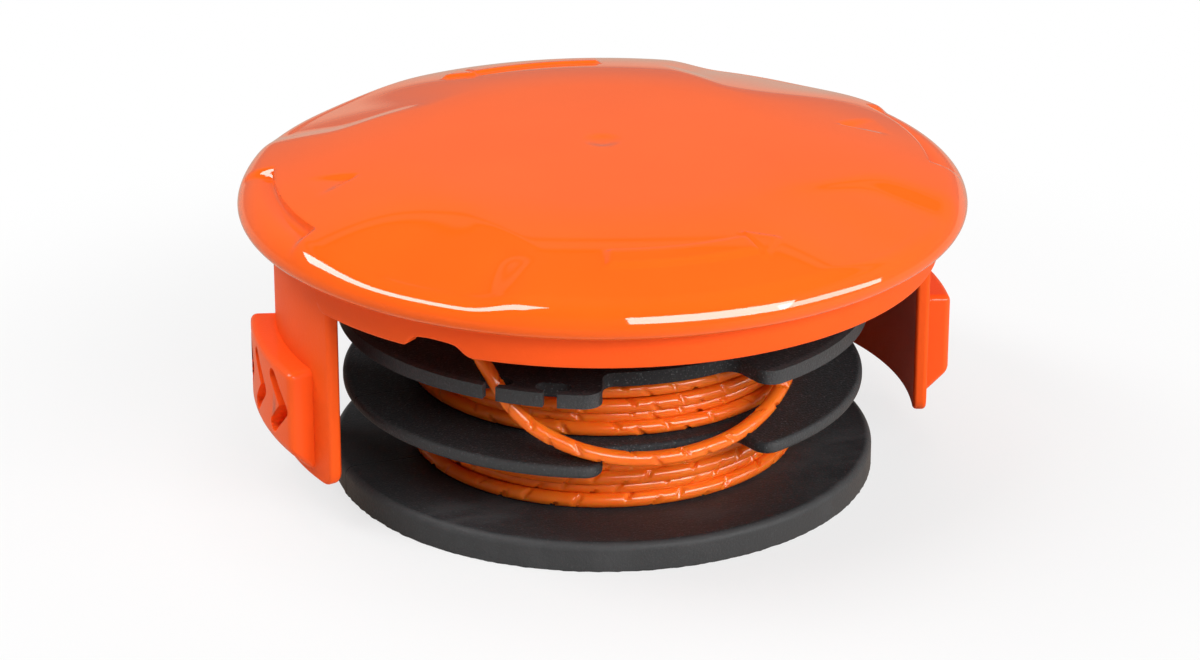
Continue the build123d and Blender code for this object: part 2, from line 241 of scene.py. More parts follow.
def smooth_route(name, points):
    """A NURBS curve object with the points as its controls."""
    curve = bpy.data.curves.new(name, "CURVE")
    curve.dimensions = "3D"
    curve.resolution_u = 8
    curve.twist_mode = "Z_UP"
    spline = curve.splines.new("NURBS")
    spline.points.add(len(points) - 1)
    for control, point in zip(spline.points, points):
        control.co = (*point, 1.0)
    spline.order_u = 3
    spline.use_endpoint_u = True
    route = bpy.data.objects.new(name, curve)
    bpy.context.scene.collection.objects.link(route)
    return route


def route_points(route):
    """The points that the smooth curve passes through, in order."""
    mesh = bpy.data.meshes.new_from_object(route)
    points = [vertex.co.copy() for vertex in mesh.vertices]
    bpy.data.meshes.remove(mesh)
    return points


def route_length(points):
    """Length along a row of points."""
    return sum((b - a).length for a, b in zip(points, points[1:]))


# %% [markdown]
# ## The notched line
# The line is bitten every 3 mm by slanting jaws, which leave small hollow facets with crisp
# edges. One stretch of six bites is modelled on a cylinder cut into rings; an Array repeats it
# without a seam, and a Curve modifier lays it on its route. A bump could fake the bites, but
# they show on the line's outline, so they are real. Each bite has a direction, measured from
# the side of the line that faces outwards, a depth and a slant.

# %% Model one stretch of line and lay it along a route
LINE_DIAMETER = 1.7 * MM
BITE_PITCH = 2.9 * MM
BITES = (
    (25, 0.42, 0.9), (-35, 0.36, 0.7), (60, 0.45, 1.0),
    (-15, 0.38, 0.8), (110, 0.40, 0.9), (-70, 0.43, 0.7),
)
BITE_HALF_WIDTH = 0.46 * MM
BITE_SPREAD = math.radians(58)
BITE_RINGS = (-1.1, -0.88, -0.7, -0.54, -0.4, -0.26, -0.13, 0.0, 0.13, 0.26, 0.4, 0.54, 0.7, 0.88, 1.1)
LINE_SIDES = 16


def bitten_stretch(name, length, outward, slant_way):
    """One open stretch of notched line along +X; outward is the angle of its outer side in degrees."""
    let_go()
    bpy.ops.mesh.primitive_cylinder_add(
        vertices=LINE_SIDES, radius=LINE_DIAMETER / 2, depth=length,
        location=(length / 2, 0, 0), rotation=(0, math.pi / 2, 0), end_fill_type="NOTHING",
    )
    stretch = bpy.context.object
    stretch.name = name
    bpy.ops.object.transform_apply(location=True, rotation=True, scale=True)
    pitch = length / len(BITES)
    bpy.ops.object.mode_set(mode="EDIT")
    for index in range(len(BITES)):
        for offset in BITE_RINGS:
            bpy.ops.mesh.select_all(action="SELECT")
            place = (index + 0.5) * pitch + offset * MM
            bpy.ops.mesh.bisect(plane_co=(place, 0, 0), plane_no=(1, 0, 0))
    stop_editing()
    for vertex in stretch.data.vertices:
        x, y, z = vertex.co
        around = math.atan2(z, y)
        depth = 0.0
        for index, (facing, bite, slant) in enumerate(BITES):
            turned_by = math.remainder(around - math.radians(facing + outward), math.tau)
            lean = slant_way * slant * LINE_DIAMETER / 2 * math.sin(turned_by)
            along = x - (index + 0.5) * pitch - lean
            depth += bite * max(0.0, 1 - (along / BITE_HALF_WIDTH) ** 2 - (turned_by / BITE_SPREAD) ** 2)
        vertex.co.y = y * (1 - depth)
        vertex.co.z = z * (1 - depth)
    return stretch


def lay_line(name, route, outward, slant_way):
    """Notched line along the whole of a route, with its two cut ends closed."""
    length = route_length(route_points(route))
    copies = max(1, round(length / (BITE_PITCH * len(BITES))))
    line = bitten_stretch(name, length / copies, outward, slant_way)
    apply_modifier(
        line, "ARRAY", fit_type="FIXED_COUNT", count=copies, use_relative_offset=True,
        relative_offset_displace=(1, 0, 0), use_merge_vertices=True, merge_threshold=0.01 * MM,
    )
    apply_modifier(line, "CURVE", object=route, deform_axis="POS_X")
    edit_all(line)
    bpy.ops.mesh.select_all(action="DESELECT")
    bpy.ops.mesh.select_mode(type="EDGE")
    bpy.ops.mesh.select_non_manifold()
    bpy.ops.mesh.fill_holes(sides=0)
    face_outwards()
    smooth_shade(line, 40)
    return line


# %% [markdown]
# The free end is the only stretch of line that nothing holds; its length is printed. Its far
# end is bare, as it was cut.

# %% The free line end
tail_curve = smooth_route("tail_route", TAIL_ROUTE)
tail_points = route_points(tail_curve)
free_line = lay_line("free_line_end", tail_curve, outward=0, slant_way=1)
bpy.data.objects.remove(tail_curve)
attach(free_line, "root")
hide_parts("line_tail")
print("free line", round(route_length(tail_points) / MM, 1), "mm long")
report(free_line)

# %% [markdown]
# ## The two rolls of line
# Each bay holds a few dozen turns, of which only the outer layer shows. Rings stacked like
# tyres would look too neat, so the layer is one long coil: every turn has its own height and
# depth, as the photograph shows them, sways a little, and crosses to the next turn behind the
# hub. Under it lies a ribbed core that stands for the turns further in.

# %% Draw a row of points and spin it


def drawn_row(name, points):
    """A row of points joined by edges, left in edit mode with all of it selected."""
    let_go()
    bpy.ops.mesh.primitive_plane_add(size=MM)
    row = bpy.context.object
    row.name = name
    bpy.ops.object.mode_set(mode="EDIT")
    bpy.ops.mesh.select_mode(type="VERT")
    bpy.ops.mesh.select_all(action="SELECT")
    bpy.ops.mesh.merge(type="CENTER")
    bpy.ops.transform.translate(value=points[0])
    for before, after in zip(points, points[1:]):
        bpy.ops.mesh.extrude_vertices_move(TRANSFORM_OT_translate={"value": after - before})
    bpy.ops.mesh.select_all(action="SELECT")
    return row


def turned(name, outline, steps):
    """A turned form: an outline of (radius, height) points in mm, spun round the hub's axis."""
    form = drawn_row(name, [Vector((r, 0, z)) * MM for r, z in outline])
    bpy.ops.mesh.spin(steps=steps, angle=math.tau, center=(0, 0, 0), axis=(0, 0, 1))
    bpy.ops.mesh.select_all(action="SELECT")
    bpy.ops.mesh.remove_doubles(threshold=0.001 * MM)
    face_outwards()
    return form


# %% Work out a coil's turns
CORE_RADIUS = 20.7
CROSSING_START = 60.0
CROSSING_SPAN = 60.0
COIL_END_TURN = 24.0
COIL_END_DEPTH = 2.2
HEIGHT_SWAY = (0.07, 0.05)
DEPTH_SWAY = 0.06
POINTS_PER_TURN = 30
CONTROL_SWELL = 1.0055


def eased(share):
    """Smooth step from 0 to 1."""
    share = min(max(share, 0.0), 1.0)
    return share * share * (3 - 2 * share)


def coil_points(turns, seed):
    """Control points of one coil, from inside the core, round every turn and back into the core."""
    sway = np.random.default_rng(seed)
    phases = sway.uniform(0, math.tau, (len(turns), 2))
    inside = CORE_RADIUS - COIL_END_DEPTH
    points = [polar(inside, CROSSING_START - COIL_END_TURN, turns[0][0])]
    for index, (height, radius) in enumerate(turns):
        after = turns[min(index + 1, len(turns) - 1)]
        for step in range(POINTS_PER_TURN):
            degrees = CROSSING_START + 360 * step / POINTS_PER_TURN
            crossed = eased((degrees - CROSSING_START - 360 + CROSSING_SPAN) / CROSSING_SPAN)
            way = math.radians(degrees)
            z = height + (after[0] - height) * crossed
            z += HEIGHT_SWAY[0] * math.sin(way + phases[index][0])
            z += HEIGHT_SWAY[1] * math.sin(2 * way + phases[index][1])
            r = radius + (after[1] - radius) * crossed + DEPTH_SWAY * math.sin(3 * way + phases[index][1])
            points.append(polar(r * CONTROL_SWELL, degrees, z))
    points.append(polar(inside, CROSSING_START + COIL_END_TURN, turns[-1][0]))
    return points


# %% Wind the two rolls
CORE_BORE = 10.7
CORE_STEP = 0.6
CORE_STEPS = 160
RIB_COUNT = 4
RIB_ROUND = 0.95
FIRST_SEED = 4
ROLLS = {
    "lower_winding": (-1, [(4.4, 22.1), (5.85, 21.35), (7.15, 22.1), (8.5, 21.4), (9.8, 22.1)]),
    "upper_winding": (1, [(13.2, 22.05), (14.6, 21.35), (16.15, 22.1), (17.9, 22.0)]),
}


def ribbed_core(name, low, high):
    """The turns further in, as one ring between two heights with a rib for each layer."""
    rib = (high - low) / RIB_COUNT
    ribs = [
        point
        for index in range(RIB_COUNT)
        for point in arc((CORE_RADIUS - RIB_ROUND, low + rib * (index + 0.5)), RIB_ROUND, -60, 60, 6)
    ]
    edge = CORE_RADIUS - CORE_STEP
    outline = [(CORE_BORE, low), (edge, low), *ribs, (edge, high), (CORE_BORE, high), (CORE_BORE, low)]
    core = turned(name, outline, CORE_STEPS)
    smooth_shade(core, 50)
    return core


def join_into(piece, other):
    """Make two meshes one piece."""
    take_hold(piece)
    other.select_set(True)
    bpy.ops.object.join()


line_pieces = [free_line]
for seed, (node, (slant_way, turns)) in enumerate(ROLLS.items(), FIRST_SEED):
    roll = ribbed_core("wound_" + node.split("_")[0] + "_roll", *(corner.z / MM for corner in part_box(node)))
    coil_curve = smooth_route("coil_route", coil_points(turns, seed))
    coil = lay_line("coil", coil_curve, outward=180, slant_way=slant_way)
    bpy.data.objects.remove(coil_curve)
    join_into(roll, coil)
    line_pieces.append(roll)
    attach(roll, "root")
    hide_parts(node)
    report(roll)

# %% [markdown]
# ## The spool
# The spool is one black moulding. Its base and hub are turned, so an outline is spun; the two
# upper flanges are flat plates with a window cut out of the rim at the front and back, so
# their outlines are drawn with the corners already rounded, filled and extruded. The edges
# get small bevels, because moulded edges always catch a line of light, and the base's lower
# edge is a little ragged where the two halves of the mould met.

# %% Turn the base and hub
BASE_RADIUS = 32.0
BASE_HEIGHT = 3.5
BASE_LOWER_ROUND = 0.25
BASE_UPPER_ROUND = 0.95
BASE_TOP_RINGS = (27.0, 20.0)
BASE_STEPS = 360
RECESS_INNER = 12.5
RECESS_OUTER = 30.4
RECESS_DEPTH = 1.8
HUB_OUTSIDE = 10.5
HUB_MIDDLE = 16.0
HUB_FOOT_ROUND = 0.6
BORE_RADIUS = 8.0
SEAT_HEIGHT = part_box("spool_hub")[1].z / MM
SEAT_ROUND = 0.4
RAGGED_BAND = (0.4, 0.2)
RAGGED_SHARES = (-0.004, 0.0025)
RAGGED_SEED = 11

base_outline = [
    (BORE_RADIUS, 0.0), (RECESS_INNER, 0.0), (RECESS_INNER, RECESS_DEPTH),
    (RECESS_OUTER, RECESS_DEPTH), (RECESS_OUTER, 0.0),
    *arc((BASE_RADIUS - BASE_LOWER_ROUND, BASE_LOWER_ROUND), BASE_LOWER_ROUND, -90, 0, 3),
    *arc((BASE_RADIUS - BASE_UPPER_ROUND, BASE_HEIGHT - BASE_UPPER_ROUND), BASE_UPPER_ROUND, 0, 90, 10),
    *[(radius, BASE_HEIGHT) for radius in BASE_TOP_RINGS],
    *arc((HUB_OUTSIDE + HUB_FOOT_ROUND, BASE_HEIGHT + HUB_FOOT_ROUND), HUB_FOOT_ROUND, -90, -180, 4),
    (HUB_OUTSIDE, HUB_MIDDLE),
    *arc((HUB_OUTSIDE - SEAT_ROUND, SEAT_HEIGHT - SEAT_ROUND), SEAT_ROUND, 0, 90, 4),
    *arc((BORE_RADIUS + SEAT_ROUND, SEAT_HEIGHT - SEAT_ROUND), SEAT_ROUND, 90, 180, 4), (BORE_RADIUS, 0.0),
]
spool = turned("black_spool", base_outline, BASE_STEPS)
ragged = np.random.default_rng(RAGGED_SEED)
for vertex in spool.data.vertices:
    outside = vertex.co.to_2d().length > (BASE_RADIUS - RAGGED_BAND[0]) * MM
    if vertex.co.z < RAGGED_BAND[1] * MM and outside:
        vertex.co.xy *= 1 + ragged.uniform(*RAGGED_SHARES)
report(spool)

# %% [markdown]
# Eight ramped drive teeth stand in the recess under the base, where the head's ratchet
# reaches them. Each is a wedge: a cube whose one end is pressed flat.

# %% Drive teeth under the base
TOOTH_COUNT = 8
TOOTH_INNER = 15.0
TOOTH_LENGTH = 5.0
TOOTH_WIDTH = 4.5
TOOTH_HEIGHT = 1.3
TOOTH_ROOT = 0.3
TOOTH_RAMP = 0.98


def block(size, place):
    """A box of a size in mm, about a place in mm."""
    let_go()
    bpy.ops.mesh.primitive_cube_add(size=1)
    box = bpy.context.object
    box.scale = Vector(size) * MM
    box.location = Vector(place) * MM
    bpy.ops.object.transform_apply(location=True, rotation=True, scale=True)
    return box


def drive_tooth():
    """One ramped tooth on +X, rooted a little way into the base."""
    tall = TOOTH_HEIGHT + TOOTH_ROOT
    tooth = block(
        (TOOTH_LENGTH, TOOTH_WIDTH, tall),
        (TOOTH_INNER + TOOTH_LENGTH / 2, TOOTH_WIDTH / 2, RECESS_DEPTH + TOOTH_ROOT - tall / 2),
    )
    pick(tooth, "VERT", lambda co: co.y > TOOTH_WIDTH / 2 * MM and co.z < RECESS_DEPTH * MM)
    bpy.ops.transform.translate(value=(0, 0, TOOTH_HEIGHT * TOOTH_RAMP * MM))
    stop_editing()
    return tooth


first_tooth = drive_tooth()
for index in range(TOOTH_COUNT):
    combine(spool, copy_of(first_tooth, math.tau * index / TOOTH_COUNT), "UNION")
bpy.data.objects.remove(first_tooth)
print(TOOTH_COUNT, "drive teeth joined to the base")

# %% [markdown]
# The two upper flanges share one outline: a round rim with a window at the front and back.
# Cutting the windows would leave sharp corners to pick and round one by one, so half a window
# is worked out with its arcs, mirrored, and repeated at the back.

# %% Draw a flange with its two windows
WINDOW_MIDDLE = -89.0
WINDOW_HALF = 18.2
WINDOW_FLOOR = 24.8
INNER_ROUND = 1.6
OUTER_ROUND = 2.0
FLANGE_HOLE = 9.4
CUTTER_HEIGHT = 10


def window_half_outline(rim, side):
    """Points of half a window, from the middle of its floor out to the flange's rim."""
    edge = WINDOW_HALF
    inner_turn = math.degrees(math.asin(INNER_ROUND / (WINDOW_FLOOR + INNER_ROUND)))
    outer_turn = math.degrees(math.asin(OUTER_ROUND / (rim - OUTER_ROUND)))
    floor = arc((0, 0), WINDOW_FLOOR, 0, edge - inner_turn, 8)
    inner_centre = on_circle(WINDOW_FLOOR + INNER_ROUND, edge - inner_turn)
    outer_centre = on_circle(rim - OUTER_ROUND, edge + outer_turn)
    corner = arc(inner_centre, INNER_ROUND, edge - inner_turn + 180, edge + 90, 6)
    mouth = arc(outer_centre, OUTER_ROUND, edge - 90, edge + outer_turn, 8)
    return [(x, side * y) for x, y in [*floor[:-1], *corner, *mouth]]


def flange_outline(rim):
    """Closed outline of a flange: rim, window, rim, window."""
    near = window_half_outline(rim, 1)
    far = list(reversed(window_half_outline(rim, -1)))[:-1]
    mouth = math.degrees(math.atan2(near[-1][1], near[-1][0]))
    rim_arc = arc((0, 0), rim, mouth, 180 - mouth, 110)[1:-1]
    half = [*far, *near, *rim_arc]
    whole = half + [(-x, -y) for x, y in half]
    turn = math.radians(WINDOW_MIDDLE)
    return [
        (x * math.cos(turn) - y * math.sin(turn), x * math.sin(turn) + y * math.cos(turn)) for x, y in whole
    ]


def plate(name, outline, z, thickness):
    """A flat plate: an outline drawn point by point, filled and extruded."""
    sheet = drawn_row(name, [Vector((x, y, z)) * MM for x, y in outline])
    bpy.ops.mesh.edge_face_add()
    bpy.ops.mesh.extrude_region_move(TRANSFORM_OT_translate={"value": (0, 0, thickness * MM)})
    face_outwards()
    return sheet


def round_bar(radius, z, height, x=0.0, y=0.0, sides=64):
    """An upright cylinder used as a cutter, in mm."""
    let_go()
    bpy.ops.mesh.primitive_cylinder_add(
        vertices=sides, radius=radius * MM, depth=height * MM, location=(x * MM, y * MM, z * MM)
    )
    bpy.ops.object.transform_apply(location=True, rotation=True, scale=True)
    return bpy.context.object


def flange(name, rim, z, thickness):
    """One flange with its windows and the hole that the hub fills."""
    disc = plate(name, flange_outline(rim), z, thickness)
    combine(disc, round_bar(FLANGE_HOLE, z, CUTTER_HEIGHT), "DIFFERENCE")
    return disc


# %% Middle flange
MID_RADIUS = 30.7
MID_Z = 10.8
MID_THICKNESS = 1.5
MID_EDGE = 0.58
mid_flange = flange("mid_flange", MID_RADIUS, MID_Z, MID_THICKNESS)
round_edges(mid_flange, MID_EDGE, 5, 50)
report(mid_flange)

# %% [markdown]
# ## Keyhole slots
# Two keyholes beside each window park the line's ends: a slot as wide as the line, opening
# into a cross-wise oval. The cutter is a bar for the throat and a rounded bar for the oval.

# %% Top flange with its keyholes
TOP_RADIUS = 31.2
TOP_Z = 19.6
TOP_THICKNESS = 1.7
KEYHOLE_ANGLES = (-131.1, -118.0, 48.9, 62.0)
KEYHOLE_RADIUS = 29.2
OVAL_LENGTH = 4.0
OVAL_WIDTH = 2.1
THROAT_WIDTH = 1.6
THROAT_REACH = 6.0
TOP_EDGE = 0.26


def keyhole_cutter():
    """Keyhole on +X: a cross-wise oval and a throat out through the rim."""
    half = (OVAL_LENGTH - OVAL_WIDTH) / 2
    cutter = block((OVAL_WIDTH, 2 * half, CUTTER_HEIGHT), (KEYHOLE_RADIUS, 0, TOP_Z))
    for side in (half, -half):
        end = round_bar(OVAL_WIDTH / 2, TOP_Z, CUTTER_HEIGHT, KEYHOLE_RADIUS, side, 40)
        combine(cutter, end, "UNION")
    throat = block((THROAT_REACH, THROAT_WIDTH, CUTTER_HEIGHT), (KEYHOLE_RADIUS + THROAT_REACH / 2, 0, TOP_Z))
    combine(cutter, throat, "UNION")
    return cutter


top_flange = flange("top_flange", TOP_RADIUS, TOP_Z, TOP_THICKNESS)
keyhole = keyhole_cutter()
for angle in KEYHOLE_ANGLES:
    combine(top_flange, copy_of(keyhole, math.radians(angle)), "DIFFERENCE")
bpy.data.objects.remove(keyhole)
round_edges(top_flange, TOP_EDGE, 3, 40)
for upper in (mid_flange, top_flange):
    combine(spool, upper, "UNION")
smooth_shade(spool, 38, weighted=True)
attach(spool, "root")
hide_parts("spool_hub", "spool_base", "spool_mid_flange", "spool_top_flange")
report(spool)

# %% [markdown]
# ## The cap
# The cap is one orange moulding: a low dome, a rolled rim, a short skirt and two latch arms.
# Its outline is spun into a fine even grid. Finger scoops, thumb rebates, pointing dents and
# raised direction arrows are then pressed into that grid, as a sculptor's brush would do, so
# that they flow into the gloss of the dome without a seam.

# %% Spin the cap's outline
APEX = 40.0
CAP_RADIUS = 42.3
CROWN_EDGE = (20.0, 39.78)
DOME_EDGE = (39.6, 36.6)
RIM_Z = 33.8
RIM_FOOT = (41.0, 32.2)
SKIRT_RADIUS = 39.2
SKIRT_INNER = 37.2
SKIRT_BOTTOM = 27.9
SKIRT_TOP = 31.0
SKIRT_RINGS = (29.6, 28.8)
FOOT_FILLET = 1.2
SKIRT_OUTER_ROUND = 0.35
SKIRT_INNER_ROUND = 0.3
PLATE = 2.0
BOSS_OUTER = 13.0
BOSS_INNER = 8.4
BOSS_FILLET = 0.6
CAP_STEPS = 600


def tangent_bend(start, heading, end):
    """Arc from a point, at a heading in degrees, bending down to another: centre, radius, two angles."""
    run, rise = end[0] - start[0], end[1] - start[1]
    half_turn = math.degrees(math.atan2(rise, run)) - heading
    radius = math.hypot(run, rise) / (2 * math.sin(math.radians(-half_turn)))
    lean = math.radians(heading)
    centre = (start[0] + radius * math.sin(lean), start[1] - radius * math.cos(lean))
    return centre, radius, heading + 90, heading + 90 + 2 * half_turn


crown = tangent_bend((0.0, APEX), 0.0, CROWN_EDGE)
shoulder = tangent_bend(CROWN_EDGE, crown[3] - 90, DOME_EDGE)
rim_top = tangent_bend(DOME_EDGE, shoulder[3] - 90, (CAP_RADIUS, RIM_Z))
rim_low = tangent_bend((CAP_RADIUS, RIM_Z), rim_top[3] - 90, RIM_FOOT)


def dome_z(radius):
    """Height of the dome's outside: a nearly flat crown, then a rounder shoulder."""
    on_crown = crown[0][1] + np.sqrt(crown[1] ** 2 - np.square(radius))
    past_middle = np.subtract(radius, shoulder[0][0])
    on_shoulder = shoulder[0][1] + np.sqrt(shoulder[1] ** 2 - np.square(past_middle))
    return np.where(np.less_equal(radius, CROWN_EDGE[0]), on_crown, on_shoulder)


def under_dome(radius):
    """Point of the dome's inside at a radius."""
    return radius, float(dome_z(radius)) - PLATE


def spaced(start, end, step):
    """Even values from start up to, but without, end."""
    count = max(1, round((end - start) / step))
    return [start + (end - start) * index / count for index in range(count)]


REBATE_INNER = 38.0
DOME_STRETCHES = ((0.5, 3.0, 0.25), (3.0, 20.0, 1.7), (20.0, 24.0, 0.8), (24.0, 37.6, 0.34))
WALL_RINGS = (37.6, 37.85, 37.95, REBATE_INNER, 38.03, 38.1, 38.2, 38.35, 38.6, 39.0, 39.3)
INNER_CORNER = ((SKIRT_INNER, 34.2), (36.6, 34.9))

dome_rings = [0.0, *(radius for stretch in DOME_STRETCHES for radius in spaced(*stretch)), *WALL_RINGS]
cap_outline = [
    *[(radius, float(dome_z(radius))) for radius in dome_rings],
    *arc(*rim_top, 18),
    *arc(*rim_low, 9)[1:],
    *arc((SKIRT_RADIUS + FOOT_FILLET, RIM_FOOT[1] - FOOT_FILLET), FOOT_FILLET, 90, 180, 6),
    *[(SKIRT_RADIUS, z) for z in SKIRT_RINGS],
    *arc((SKIRT_RADIUS - SKIRT_OUTER_ROUND, SKIRT_BOTTOM + SKIRT_OUTER_ROUND), SKIRT_OUTER_ROUND, 0, -90, 4),
    *arc((SKIRT_INNER + SKIRT_INNER_ROUND, SKIRT_BOTTOM + SKIRT_INNER_ROUND), SKIRT_INNER_ROUND, -90, -180, 3),
    (SKIRT_INNER, SKIRT_TOP), *INNER_CORNER,
    *[under_dome(radius) for radius in (30.0, 22.0, BOSS_OUTER + BOSS_FILLET)],
    (BOSS_OUTER, under_dome(BOSS_OUTER)[1] - BOSS_FILLET), (BOSS_OUTER, SEAT_HEIGHT),
    (BOSS_INNER, SEAT_HEIGHT), under_dome(BOSS_INNER), under_dome(4.0), (0.0, APEX - PLATE),
]
cap = turned("orange_cap", cap_outline, CAP_STEPS)
report(cap)

# %% [markdown]
# ## Pressing the cap's forms
# Four finger scoops run out over the rim like a pinwheel, each with one soft and one sharper
# flank. Over each arm the rim is set back behind a crisp curved wall, a thumb rebate. Beside
# it a triangular dent points to the middle. A raised arrow at the front and back shows which
# way the head turns, and a small dimple marks where the moulding was fed.

# %% Scoops, dents and arrows, as heights over the dome
SCOOP_MIDDLES = (42.5, 132.5, -137.5, -47.5)
SCOOP_DEPTH = 0.9
SCOOP_START = 24.0
SCOOP_FULL = 40.0
SCOOP_EASE = 0.16
SCOOP_SOFT_SIDE = (-28.0, -1.0)
SCOOP_FLANK = (-3.5, 14.0)
SCOOP_FLANK_SWING = (22.5, 34.5)
SCOOP_FLANK_HALF = 6.0
DENT_TIP = 28.8
DENT_BASE = 34.2
DENT_HALF_WIDTH = 3.2
DENT_DEPTH = 0.6
DENT_EDGE = (-0.4, 1.4)
DENT_POINT = (-0.04, 0.2)
ARROW_BAND = (31.2, 35.0)
ARROW_START = -107.0
ARROW_NECK = -78.0
ARROW_TIP = -70.3
ARROW_HEAD = (29.7, 36.5)
ARROW_RISE = 0.38
ARROW_SOFT = 0.8


def step_between(low, high, value):
    """Very smooth step of an array, 0 below low and 1 above high."""
    share = np.clip((value - low) / (high - low), 0, 1)
    return share**3 * (share * (share * 6 - 15) + 10)


def angle_from(degrees, middle):
    """Signed angles in degrees from a middle angle."""
    return (degrees - middle + 180) % 360 - 180


def scoop_drop(r, degrees):
    """How far the four scoops lower the dome."""
    drop = np.zeros_like(r)
    out = np.clip((r - SCOOP_START) / (SCOOP_FULL - SCOOP_START), 0, 1)
    out = out**2 / (out + SCOOP_EASE) * (1 + SCOOP_EASE)
    along = out * (2 - out)
    flank = SCOOP_FLANK[0] + (SCOOP_FLANK[1] - SCOOP_FLANK[0]) * step_between(*SCOOP_FLANK_SWING, r)
    for middle in SCOOP_MIDDLES:
        off = angle_from(degrees, middle)
        sharp = 1 - step_between(flank - SCOOP_FLANK_HALF, flank + SCOOP_FLANK_HALF, off)
        drop += SCOOP_DEPTH * along * step_between(*SCOOP_SOFT_SIDE, off) * sharp
    return drop


def dent_drop(r, degrees):
    """How far the two pointing dents lower the dome: deepest near the point, level at the base."""
    drop = np.zeros_like(r)
    for side in (0.0, 180.0):
        off = np.radians(angle_from(degrees, side))
        out, sideways = r * np.cos(off), np.abs(r * np.sin(off))
        share = (out - DENT_TIP) / (DENT_BASE - DENT_TIP)
        inside = step_between(*DENT_EDGE, share * DENT_HALF_WIDTH - sideways)
        depth = DENT_DEPTH * np.clip(1.08 - share, 0, 1) * step_between(*DENT_POINT, share)
        drop += depth * inside * (np.abs(off) < 1)
    return drop


def arrow_rise(r, degrees):
    """How far the two direction arrows stand up."""
    rise = np.zeros_like(r)
    soft = ARROW_SOFT
    for side in (0.0, 180.0):
        turn = angle_from(degrees, side)
        length = np.radians(turn) * r
        start, neck, tip = (np.radians(a) * r for a in (ARROW_START, ARROW_NECK, ARROW_TIP))
        band = step_between(0, soft, r - ARROW_BAND[0]) * step_between(0, soft, ARROW_BAND[1] - r)
        band *= step_between(0, soft, length - start) * step_between(0, soft, neck + soft - length)
        middle = sum(ARROW_HEAD) / 2
        half = (ARROW_HEAD[1] - ARROW_HEAD[0]) / 2 * (tip - length) / (tip - neck)
        head = step_between(0, soft, half - np.abs(r - middle)) * step_between(0, soft, length - neck)
        rise += ARROW_RISE * np.maximum(band, head)
    return rise


# %% Thumb rebates and the skirt's lower edge
REBATE_HALF = 14.6
REBATE_FLARE = 2.4
REBATE_END = (-1.2, 1.4)
REBATE_DEPTH = 1.2
REBATE_FLAT = 39.4
REBATE_ROUND = 0.5
REBATE_RUN_OUT = 0.5
SCALLOP_MIDDLES = (44.0, -136.0)
SCALLOP_HALF = 6.9
SCALLOP_SIDES = (0.8, 1.15)
SCALLOP_LIFT = 1.5
GAP_HALF = 18.3
SKIRT_END_ROUND = 1.9
SKIRT_END_LIFT = 1.2


def rebate_form(r, z, rim):
    """The rebate's own radius and height for each point, and where its roll has run out on the rim."""
    floor = float(dome_z(REBATE_INNER)) - REBATE_DEPTH
    past_wall = r - REBATE_INNER
    into = np.clip(REBATE_ROUND - past_wall, 0, REBATE_ROUND)
    floor_z = floor + REBATE_ROUND - np.sqrt(REBATE_ROUND**2 - into**2)
    floor_r = REBATE_INNER + past_wall * (REBATE_FLAT - REBATE_INNER) / (DOME_EDGE[0] - REBATE_INNER)
    (rim_r, rim_z), rim_radius, rim_start, _ = rim_top
    roll_out = math.asin((RIM_Z + REBATE_RUN_OUT - rim_z) / rim_radius)
    roll_end = (rim_r + rim_radius * math.cos(roll_out), RIM_Z + REBATE_RUN_OUT)
    (roll_r, roll_z), roll_radius, roll_from, roll_to = tangent_bend((REBATE_FLAT, floor), 0.0, roll_end)
    around = np.degrees(np.arctan2(z - rim_z, r - rim_r))
    share = (rim_start - around) / (rim_start - math.degrees(roll_out))
    turn = np.radians(roll_from + (roll_to - roll_from) * np.clip(share, 0, 1))
    form_r = np.where(rim, roll_r + roll_radius * np.cos(turn), floor_r)
    form_z = np.where(rim, roll_z + roll_radius * np.sin(turn), floor_z)
    return form_r, form_z, rim & (share > 1)


def rebate_share(r, arm_off):
    """How far each point belongs to a rebate: 1 over the arm, easing out at the flared ends."""
    out = np.clip((r - REBATE_INNER) / (CAP_RADIUS - REBATE_INNER), 0, 1)
    end = REBATE_HALF + REBATE_FLARE * out
    return 1 - step_between(end + REBATE_END[0], end + REBATE_END[1], arm_off)


def skirt_lift(z, degrees, arm_off):
    """How far two scallops and the round ends beside the arms raise the skirt's lower edge."""
    lift = np.zeros_like(z)
    for middle in SCALLOP_MIDDLES:
        off = angle_from(degrees, middle)
        bow = off / (SCALLOP_HALF * np.where(off < 0, *SCALLOP_SIDES))
        lift += SCALLOP_LIFT * np.sqrt(np.clip(1 - bow**2, 0, 1)) * step_between(0, 0.5, 1 - np.abs(bow))
    corner = np.clip(1 - (arm_off - GAP_HALF) / SKIRT_END_ROUND, 0, 1)
    lift += SKIRT_END_LIFT * (1 - np.sqrt(1 - corner**2))
    return lift * np.clip((SKIRT_TOP - z) / (SKIRT_TOP - SKIRT_BOTTOM), 0, 1)


# %% Press the forms into the cap's grid
DIMPLE_FLAT = 0.3
DIMPLE_RADIUS = 2.7
DIMPLE_DEPTH = 0.22
LIP_START = 37.8
LIP_SLOPE = 0.35
LIP_ENDS = (REBATE_HALF - 1.1, REBATE_HALF + 1.3)
RIM_FADE = 1.5
HAIR = 0.01
AXIS = 1e-6


